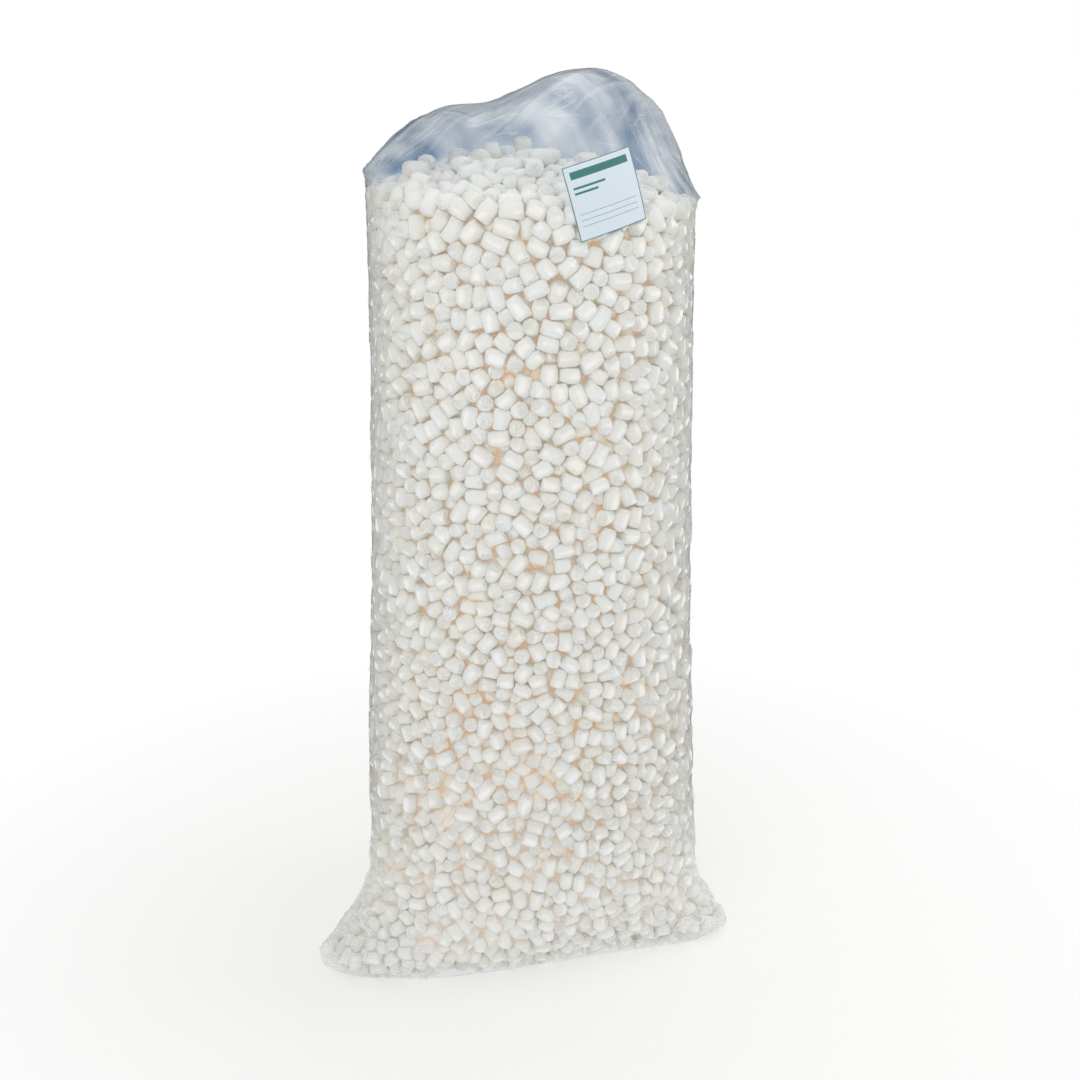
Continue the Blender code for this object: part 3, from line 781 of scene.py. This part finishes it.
def scattered(name, places, tree, kinds, seed):
    """One plain mesh with a peanut for each (middle, axis, size) row."""
    middles, axes, sizes = places
    points = bpy.data.meshes.new(name)
    points.from_pydata(middles.tolist(), [], [])
    store(points, "axis", axes, "FLOAT_VECTOR")
    store(points, "size", sizes, "FLOAT_VECTOR")
    holder = add_object(name + "_points", points)
    scatter = holder.modifiers.new("scatter", "NODES")
    scatter.node_group = tree
    ids = {item.name: item.identifier for item in tree.interface.items_tree}
    scatter[ids["Kinds"]] = kinds
    scatter[ids["Seed"]] = seed
    shown = bpy.context.evaluated_depsgraph_get()
    mesh = bpy.data.meshes.new_from_object(holder.evaluated_get(shown))
    mesh.name = name
    for vert in mesh.vertices:
        vert.co.z = max(vert.co.z, FLOOR_GAP)
    holder.modifiers.clear()
    bpy.data.objects.remove(holder)
    return add_object(name, mesh)


def mark_depth(pieces, skin):
    """Stores how deep each point of these pieces lies under the film or the heap's
    surface, which sets the painted peach shade and glow of its gaps, and how warm that painted
    shade is, less so near the floor."""
    for piece in pieces:
        points = points_of(piece.data)
        depths, _ = wall_depths(skin, points)
        deep = smooth_step(0.008, 0.034, np.minimum(depths, ceiling(points)))
        store(piece.data, "deep", deep)
        store(piece.data, "warm", smooth_step(0.10, 0.65, points[:, 2]))


def loose_places():
    """Middle, axis and size of each loose peanut, as its solid lies on the heap."""
    rows = []
    for name, obj in sorted(frame["nodes"].items()):
        if not name.startswith("loose_peanut"):
            continue
        points = points_of(obj.data)
        middle = points.mean(0)
        _, _, ways = np.linalg.svd(points - middle, full_matrices=False)
        along = (points - middle) @ ways[0]
        size = (along.max() - along.min()) / 2
        rows.append((middle, ways[0], (size, PEANUT_RADIUS, PEANUT_RADIUS)))
    return [np.array([row[i] for row in rows]) for i in range(3)]


def make_core(finish):
    """The peanuts further in, which show only as a dim uneven ground between the others."""
    columns, rows = 110, 96
    points, _ = base_rows(columns, 1, rows, 2)
    points = points[1:rows + 1]
    points = points - grid_normals(points) * (LAYER - 0.004)
    chance = np.random.default_rng(SEED)
    points += chance.uniform(-0.0035, 0.0035, points.shape)
    bottom, top = 0.012, BODY_TOP + HEAP_RISE - LAYER
    points = points[(points[:, :, 2].min(1) > bottom) & (points[:, :, 2].max(1) < top)]
    middle_low = points[0].mean(0)
    middle_high = points[-1].mean(0)
    bottom_rings = [middle_low + (points[0] - middle_low) * s for s in (0.03, 0.35, 0.7)]
    top_rings = [middle_high + (points[-1] - middle_high) * s for s in (0.85, 0.65, 0.4, 0.2, 0.03)]
    for ring in top_rings:
        ring[:, 2] = heap_height(ring[:, 0], ring[:, 1]) - LAYER
    points = np.concatenate((bottom_rings, points, top_rings))
    rows, columns = points.shape[:2]
    faces = grid_faces(rows, columns).tolist()
    faces.append(list(range(columns))[::-1])
    faces.append([(rows - 1) * columns + i for i in range(columns)])
    mesh = bpy.data.meshes.new("packed_core")
    mesh.from_pydata(points.reshape(-1, 3).tolist(), [], faces)
    mesh.materials.append(finish)
    mesh.shade_smooth()
    return add_object(mesh.name, mesh)


# The film

def smooth_step(low, high, value):
    t = np.clip((value - low) / (high - low), 0, 1)
    return t * t * (3 - 2 * t)


def round_rate(rate):
    """The nearest rate that closes round the tube."""
    return round(rate * GIRTH / (2 * math.pi)) * 2 * math.pi / GIRTH


def folds(u, v, spacing, along, spread, seed, count=16):
    """Long waves that run along a direction of the film's own map, about -1 to 1."""
    chance = np.random.default_rng(seed)
    total = np.zeros_like(u)
    for _ in range(count):
        across = along + np.pi / 2 + chance.normal(0, spread)
        rate = 2 * np.pi / (spacing * chance.uniform(0.7, 1.6))
        turns = round_rate(rate * math.cos(across))
        total += np.sin(turns * u + rate * math.sin(across) * v + chance.uniform(0, 6.3))
    return total / math.sqrt(count * 2)


def creases(u, v, spacing, along, spread, seed, count=5):
    """Narrow raised lines that wander, fade and meet, 0 to 1."""
    chance = np.random.default_rng(seed)
    best = np.zeros_like(u)
    for k in range(count):
        across = along + np.pi / 2 + chance.normal(0, spread)
        rate = 2 * np.pi / (spacing * chance.uniform(0.8, 1.4))
        wander = 0.8 * folds(u, v, spacing * 6, along, 1.0, 31 * seed + k, 6)
        mask = smooth_step(-0.3, 0.6, folds(u, v, spacing * 5, along, 1.2, 57 * seed + k, 6))
        turns = round_rate(rate * math.cos(across) / 2)
        phase = turns * u + rate / 2 * math.sin(across) * v + wander + chance.uniform(0, 6.3)
        best = np.maximum(best, mask * (1 - np.abs(np.sin(phase))) ** 2.5)
    return best


def drape(points, normals, peanuts, free):
    """How far the film stands out at each point of its grid: it is drawn in, and the
    peanuts under it hold it up, so that it spans them in flat facets."""
    outside, farthest_out, farthest_in = 0.012, 0.009, 0.030
    held = np.full(points.shape[:2], -farthest_in)
    starts = (points + normals * outside).reshape(-1, 3)
    ways = -normals.reshape(-1, 3)
    flat_held = held.reshape(-1)
    for i in np.flatnonzero(points[:, :, 2].reshape(-1) < BODY_TOP + HOOD_HEIGHT / 2):
        hit = peanuts.ray_cast(starts[i], ways[i], outside + farthest_in)
        if hit[0] is not None:
            flat_held[i] = min(outside - hit[3], farthest_out)
    held += 0.0006
    sunk = np.zeros_like(held)
    for _ in range(DRAPE_ROUNDS):
        around = (np.roll(sunk, 1, 1) + np.roll(sunk, -1, 1)) / 2
        along = sunk.copy()
        along[1:-1] = (sunk[2:] + sunk[:-2]) / 2
        sunk = np.maximum((around + along) / 2 - DRAPE_PULL, held)
        sunk[free] = np.maximum(held[free], 0)
    for _ in range(4):
        sunk = sunk / 2 + (np.roll(sunk, 1, 1) + np.roll(sunk, -1, 1)) / 4
        sunk[1:-1] = sunk[1:-1] / 2 + (sunk[2:] + sunk[:-2]) / 4
    return sunk


def fold_distance(x, z, lines):
    """Distance from the nearest of these lines, seen from the front, with its side as
    its sign, so that a thin line can be drawn between the film's points."""
    best = np.full(x.shape, FOLD_REACH)
    for line in lines:
        for (ax, az), (bx, bz) in zip(line, line[1:]):
            dx, dz = bx - ax, bz - az
            t = np.clip(((x - ax) * dx + (z - az) * dz) / (dx * dx + dz * dz), 0, 1)
            off_x, off_z = x - ax - t * dx, z - az - t * dz
            far = np.hypot(off_x, off_z)
            signed = np.where(dx * off_z < dz * off_x, -far, far)
            best = np.where(far < np.abs(best), signed, best)
    return best


def short_folds(count, low, high, angle, length, chance):
    """Random slightly bent folds between two corners of the front, near this angle."""
    lines = []
    for _ in range(count):
        x, z = (chance.uniform(a, b) for a, b in zip(low, high))
        way = angle + chance.normal(0, 0.22)
        line = [(x, z)]
        for _ in range(3):
            step = length * chance.uniform(0.2, 0.45)
            x, z = x + step * math.cos(way), z + step * math.sin(way)
            line.append((x, z))
            way += chance.normal(0, 0.18)
        lines.append(line)
    return lines


def ear_rays(count, tip_x, tip_z, chance):
    """Random folds that run from the tip of an ear up and in."""
    lines = []
    for _ in range(count):
        bearing, start = chance.uniform(0.15, 1.45), chance.uniform(0.01, 0.07)
        line = []
        for away in start + np.linspace(0, chance.uniform(0.05, 0.14), 4):
            inward = away * math.cos(bearing)
            line.append((tip_x - math.copysign(inward, tip_x), tip_z + away * math.sin(bearing)))
            bearing += chance.normal(0, 0.06)
        lines.append(line)
    return lines


def all_folds():
    chance = np.random.default_rng(SEED)
    lines = list(HOOD_FOLDS + EAR_FOLDS)
    for made_up in SHORT_FOLDS:
        lines += short_folds(*made_up, chance)
    for fan in EAR_FANS:
        lines += ear_rays(*fan, chance)
    return lines


def film_zones(points, turn):
    """Shares from 0 to 1 that say where on the bag each point of the film lies."""
    rows = len(points)
    even = np.zeros((rows, COLUMNS))
    row = np.arange(rows)[:, None] + even
    x, y, height = np.moveaxis(points, -1, 0)
    standing = row >= UNDER_ROWS
    side = np.abs(np.cos(turn)) + even
    # the hood's painted blue-grey reflection lies mostly in its back, behind the heap's top row
    behind = smooth_step(-0.25, 0.25, np.sin(turn)) + even
    tinted_from = heap_height(x, 0 * y) + 0.026 - 0.044 * behind
    from_label = np.stack((x - LABEL_X, height - BODY_TOP - LABEL_RISE))
    near_label = np.exp(-np.sum((from_label / 0.085) ** 4, 0))
    near_floor = 1 - smooth_step(0.05, 0.30, height)
    up_hood = np.clip((row - rows + 1 + HOOD_ROWS) / HOOD_ROWS, 0, 1)
    return SimpleNamespace(
        standing=standing, side=side, behind=behind,
        free=~standing | (height >= heap_height(x, y) + 0.004),
        in_hood=standing * smooth_step(BODY_TOP - 0.01, BODY_TOP + 0.10, height),
        above_heap=standing * smooth_step(-0.010, 0.025, height - tinted_from),
        off_label=1 - near_label * (y < 0),
        below_mouth=1 - smooth_step(0.65, 1.0, up_hood),
        edge=standing * smooth_step(0.80, 0.98, side),
        gather=standing * near_floor * smooth_step(0.30, 0.85, side))


def film_relief(points, u, v, at, fold, from_tip, bearing):
    """The film's wrinkles, in metres: broad facets and long creases in the slack hood,
    streaks down the sides, and gathers that run to the ears."""
    hood = at.in_hood * at.off_label * at.below_mouth
    slack = hood * (1 - 0.85 * smooth_step(0.75, 0.98, at.side))
    wrinkle = 0.010 * slack * folds(u, v, 0.26, 0.55, 0.25, 1)
    wrinkle += 0.008 * slack * creases(u, v, 0.14, 0.5, 0.2, 2)
    wrinkle += 0.003 * slack * creases(u, v, 0.06, 0.6, 0.3, 3)
    wrinkle += 0.0014 * at.edge * at.off_label * creases(u, v, 0.035, 1.25, 0.12, 4)
    _, y, height = np.moveaxis(points, -1, 0)
    waver = 2 * np.sin(5 * bearing + 3 * np.sign(y)) + 9 * from_tip
    spokes = (1 - np.abs(np.sin(11 * bearing + waver))) ** 2
    wrinkle += 0.004 * at.gather * spokes * smooth_step(0.0, 0.03, height)
    folded = np.clip(hood + 0.5 * at.gather + 0.3 * at.edge, 0, 1)
    return wrinkle + 0.003 * np.exp(-np.abs(fold) / 0.009) * folded


def make_film(finish, peanuts):
    """The bag's film, draped over the peanuts and wrinkled where it is slack."""
    points, turn = base_rows(COLUMNS, UNDER_ROWS, BODY_ROWS, HOOD_ROWS)
    normals = grid_normals(points)
    rows = len(points)
    steps = np.linalg.norm(np.diff(points, axis=0), axis=2).mean(1)
    v = np.concatenate(([0], np.cumsum(steps)))[:, None] + np.zeros(COLUMNS)
    u = turn[None, :] / (2 * np.pi) * GIRTH + np.zeros((rows, 1))
    x, y, height = np.moveaxis(points, -1, 0)
    at = film_zones(points, turn)
    tip_x = np.where(x > 0, x.max(), x.min())
    from_tip = np.hypot(x - tip_x, height - 0.03)
    bearing = np.arctan2(height - 0.03, np.abs(x - tip_x) + 0.004)
    fold = fold_distance(np.where(np.sin(turn) < 0, x, -x), height, all_folds())
    fold = np.where(at.standing, fold, FOLD_REACH)
    out = drape(points, normals, peanuts, at.free)
    out += film_relief(points, u, v, at, fold, from_tip, bearing)
    moved = points + normals * out[:, :, None]
    moved[:, :, 2] = np.maximum(moved[:, :, 2], 0.0)
    mesh = bpy.data.meshes.new("polythene_bag")
    mesh.from_pydata(moved.reshape(-1, 3).tolist(), [], grid_faces(rows, COLUMNS).tolist())
    hood, above, edge, gather = at.in_hood, at.above_heap, at.edge, at.gather
    # slack sets the painted blue-grey reflection, more in the back and to the right; skim sets the
    # painted shade and the gloss at flat angles, less near the floor
    right = smooth_step(0.17, 0.27, x)
    looks = {
        "haze": 0.02 + 0.01 * hood + 0.045 * above + 0.03 * edge + 0.11 * gather,
        "slack": above * (0.47 + 0.50 * at.behind + 0.25 * right),
        "crinkle": np.clip(0.5 * above + 0.12 * hood + 0.15 * edge, 0, 1) * at.off_label,
        "fan": 0.25 * gather,
        "gloss": np.clip(0.12 + 0.26 * hood + 0.3 * above + 0.3 * gather, 0, 1),
        "fold": fold,
        "skim": 0.10 + 0.80 * smooth_step(0.10, 0.40, height) * (1 - 0.75 * hood),
    }
    for name, values in looks.items():
        store(mesh, name, values)
    rays = np.stack((from_tip * 7, bearing * 9, np.sign(y) * 3 + np.sign(x)), -1)
    store(mesh, "rays", rays, "FLOAT_VECTOR")
    corners = np.array([loop.vertex_index for loop in mesh.loops])
    column = (corners % COLUMNS).reshape(-1, 4)
    closing = (column == 0) & (column.max(1) == COLUMNS - 1)[:, None]
    across = u.reshape(-1)[corners] + np.where(closing.reshape(-1), GIRTH, 0)
    sheet = mesh.uv_layers.new(name="film")
    places = np.stack((across, v.reshape(-1)[corners]), 1)
    sheet.data.foreach_set("uv", places.astype(np.float32).ravel())
    mesh.materials.append(finish)
    bm = bmesh.new()
    bm.from_mesh(mesh)
    bmesh.ops.remove_doubles(bm, verts=bm.verts, dist=0.00001)
    bm.to_mesh(mesh)
    bm.free()
    mesh.shade_smooth()
    return add_object(mesh.name, mesh)


def make_label(finish, film, peanuts):
    """The self-adhesive label: a thin sheet that follows the film under it."""
    cells = 36
    under = (BVHTree.FromPolygons([v.co for v in film.data.vertices],
                                  [p.vertices for p in film.data.polygons]), peanuts)
    cos, sin = math.cos(LABEL_TURN), math.sin(LABEL_TURN)
    side = np.arange(cells + 1) / cells
    a, b = np.meshgrid((side - 0.5) * LABEL_WIDTH, (side - 0.5) * LABEL_HEIGHT)
    x = LABEL_X + a * cos - b * sin
    z = BODY_TOP + LABEL_RISE + a * sin + b * cos
    nearest = []
    for i, j in zip(x.ravel().tolist(), z.ravel().tolist()):
        hits = [tree.ray_cast(Vector((i, -1, j)), Vector((0, 1, 0)))[0] for tree in under]
        nearest.append(min(hit.y for hit in hits if hit))
    film_y = np.array(nearest).reshape(x.shape)
    y = film_y.copy()
    # stiffer than the film, so it spans the dips under it
    for _ in range(150):
        wide = np.pad(y, 1, mode="reflect", reflect_type="odd")
        near = wide[1:-1, 2:] + wide[1:-1, :-2] + wide[2:, 1:-1] + wide[:-2, 1:-1]
        y = np.minimum(near / 4, film_y)
    verts = np.stack((x, y - 0.0009, z), -1).reshape(-1, 3).tolist()
    places = [(i, j) for j in side for i in side]
    faces = [(j * (cells + 1) + i, j * (cells + 1) + i + 1,
              (j + 1) * (cells + 1) + i + 1, (j + 1) * (cells + 1) + i)
             for j in range(cells) for i in range(cells)]
    mesh = bpy.data.meshes.new("bag_label")
    mesh.from_pydata(verts, [], faces)
    sheet = mesh.uv_layers.new(name="sheet")
    for loop in mesh.loops:
        sheet.data[loop.index].uv = places[loop.vertex_index]
    mesh.materials.append(finish)
    mesh.shade_smooth()
    piece = add_object(mesh.name, mesh)
    wall = piece.modifiers.new("sheet", "SOLIDIFY")
    wall.thickness = 0.0004
    wall.offset = -1
    return piece


# Camera, light and floor

def set_camera():
    """The photograph's place: near, high and a little to the bag's left."""
    azimuth, pitch = math.radians(-10), math.radians(19)
    distance, height, aside = 2.40, 1.63, 0.015
    frame_size = 1080  # pixels of the photograph, as the focal length and row below
    focal = 1343
    middle_row = 565
    look = Vector((-math.sin(azimuth), math.cos(azimuth), 0))
    right = Vector((look.y, -look.x, 0))
    camera = add_object("camera", bpy.data.cameras.new("camera"))
    camera.location = -look * distance + right * aside + Vector((0, 0, height))
    camera.rotation_euler = (math.pi / 2 - pitch, 0, azimuth)
    camera.data.lens = camera.data.sensor_width * focal / frame_size
    camera.data.shift_y = middle_row / frame_size - 0.5
    bpy.context.scene.camera = camera


def add_lamp(name, place, aim, size, power):
    lamp = bpy.data.lights.new(name, "AREA")
    lamp.shape = "RECTANGLE"
    lamp.size, lamp.size_y = size
    lamp.energy = power
    made = add_object(name, lamp)
    made.location = place
    made.rotation_euler = (Vector(aim) - Vector(place)).to_track_quat("-Z", "Y").to_euler()


def set_light():
    """A soft pale studio: camera and glass see a white room, the bag a dimmer one."""
    world = bpy.data.worlds.new("studio")
    bpy.context.scene.world = world
    world.use_nodes = True
    tree = world.node_tree
    tree.nodes.clear()
    path = node(tree, "ShaderNodeLightPath").outputs
    seen = node(tree, "ShaderNodeMath", {
        0: path["Is Camera Ray"], 1: path["Is Transmission Ray"]}, operation="MAXIMUM")
    room = node(tree, "ShaderNodeBackground", {"Color": rgb("#F3F2EF"), "Strength": 0.67})
    white = node(tree, "ShaderNodeBackground", {"Color": rgb("#FFFFFF"), "Strength": 1.0})
    both = node(tree, "ShaderNodeMixShader", {
        "Fac": seen, 1: room.outputs["Background"], 2: white.outputs["Background"]})
    node(tree, "ShaderNodeOutputWorld", {"Surface": both.outputs["Shader"]})
    add_lamp("key", (-1.2, -2.4, 3.2), (0, 0, 0.8), (2.4, 2.4), 27)
    add_lamp("top", (0.6, 0.3, 3.4), (0, 0, 1.0), (2.6, 2.6), 22)
    add_lamp("rim", (2.6, -0.6, 1.8), (0, 0, 0.8), (0.8, 2.2), 10)
    bpy.context.scene.view_settings.view_transform = "Standard"


def set_floor():
    bm = bmesh.new()
    bmesh.ops.create_circle(bm, cap_ends=True, segments=96, radius=7.0)
    mesh = bpy.data.meshes.new("floor")
    bm.to_mesh(mesh)
    bm.free()
    mesh.materials.append(studio_floor())
    add_object("floor", mesh)


def main():
    set_camera()
    set_light()
    set_floor()
    foam = starch_foam()
    coarse, _ = base_rows(80, 3, 60, 24)
    skin = tree_of_grid(coarse)
    middles, axes, sizes = settle(skin, np.random.default_rng(SEED))
    depths, _ = wall_depths(skin, middles)
    depths = np.minimum(depths, ceiling(middles))
    fine = peanut_kinds("fine_peanut", FINE_RINGS, 10)
    plain = peanut_kinds("plain_peanut", PLAIN_RINGS, 8)
    tree = scatter_tree(foam)
    outer = depths < OUTER_DEPTH
    front = middles[:, 1] < 0
    left = middles[:, 0] < 0
    groups = (
        ("packed_peanuts_front_left", outer & front & left, fine),
        ("packed_peanuts_front_right", outer & front & ~left, fine),
        ("packed_peanuts_back_left", outer & ~front & left, fine),
        ("packed_peanuts_back_right", outer & ~front & ~left, fine),
        ("packed_peanuts_inner", ~outer, plain),
    )
    pieces = []
    for number, (name, chosen, kinds) in enumerate(groups):
        places = (middles[chosen], axes[chosen], sizes[chosen])
        pieces.append(scattered(name, places, tree, kinds, number))
    loose = scattered("loose_peanuts", loose_places(), tree, fine, 9)
    core = make_core(foam)
    mark_depth(pieces + [core, loose], skin)
    verts, faces = [], []
    for piece in pieces[:4] + [loose]:
        start = len(verts)
        verts += [v.co[:] for v in piece.data.vertices]
        faces += [[start + i for i in p.vertices] for p in piece.data.polygons]
    peanuts = BVHTree.FromPolygons(verts, faces)
    film = make_film(clear_film(), peanuts)
    label = make_label(label_paper(), film, peanuts)
    for kinds in (fine, plain):
        for shape in list(kinds.objects):
            bpy.data.objects.remove(shape)
        bpy.data.collections.remove(kinds)
    for piece in pieces + [core, loose]:
        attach(piece, "root")
    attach(film, "root")
    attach(label, "root")
    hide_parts("peanut_fill")
    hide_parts(*[name for name in frame["nodes"] if name.startswith("loose_peanut")])
    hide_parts("film_bag")
    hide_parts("label")


main()
